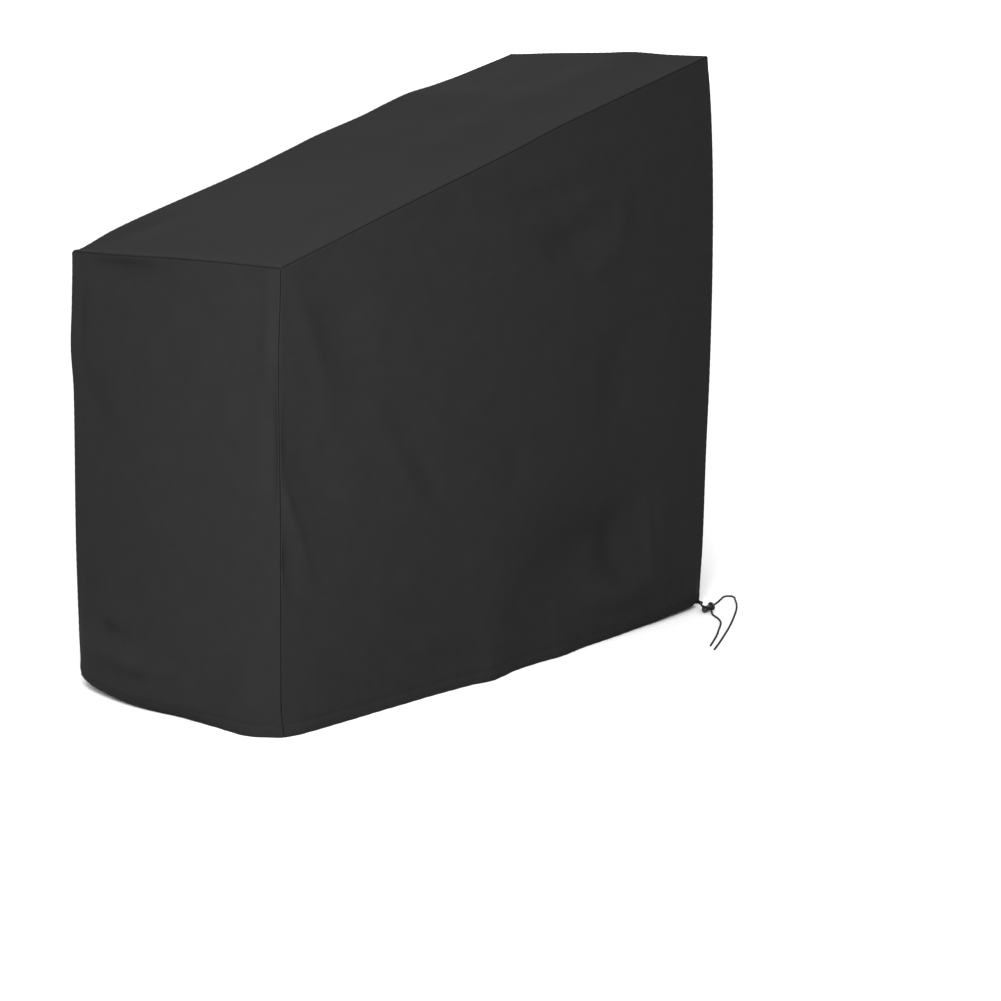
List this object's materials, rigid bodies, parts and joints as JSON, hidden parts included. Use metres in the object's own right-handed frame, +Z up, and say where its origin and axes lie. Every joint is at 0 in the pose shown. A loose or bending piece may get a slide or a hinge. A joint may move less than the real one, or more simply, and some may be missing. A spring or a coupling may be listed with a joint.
{
  "type": "exercise bike cover",
  "caption": "Fitted fabric cover with a sloping top, hollow and open at the bottom, with a drawcord hem and a cord lock.",
  "frame": {"origin": "under the middle of the top panel, where the covered bike holds the cover up; the hem's lowest points are 1.0115 m below it", "axes": "+X along the cover from its low end to its high end, -Y towards the long side that the picture shows, +Z up"},
  "size_m": [1.4267, 0.8122, 1.1819],
  "materials": {
    "cover_cloth": "coated plain weave, soft sheen",
    "drawcord": "braided",
    "lock_plastic": "moulded satin"
  },
  "bodies": {
    "cover": {"panel_top": "cover_cloth", "panel_side_near": "cover_cloth", "panel_side_far": "cover_cloth", "panel_end_low": "cover_cloth", "panel_end_high": "cover_cloth", "drawcord_short": "drawcord", "drawcord_long": "drawcord", "cord_lock_barrel": "lock_plastic"},
    "plunger": {"cord_lock_plunger": "lock_plastic"}
  },
  "joints": [
    {"name": "plunger_press", "type": "slide", "parent": "cover", "child": "plunger", "axis": [-0.9794, 0.1029, -0.1736], "range_m": [0, 0.003], "stiffness_N_per_m": 600}
  ]
}
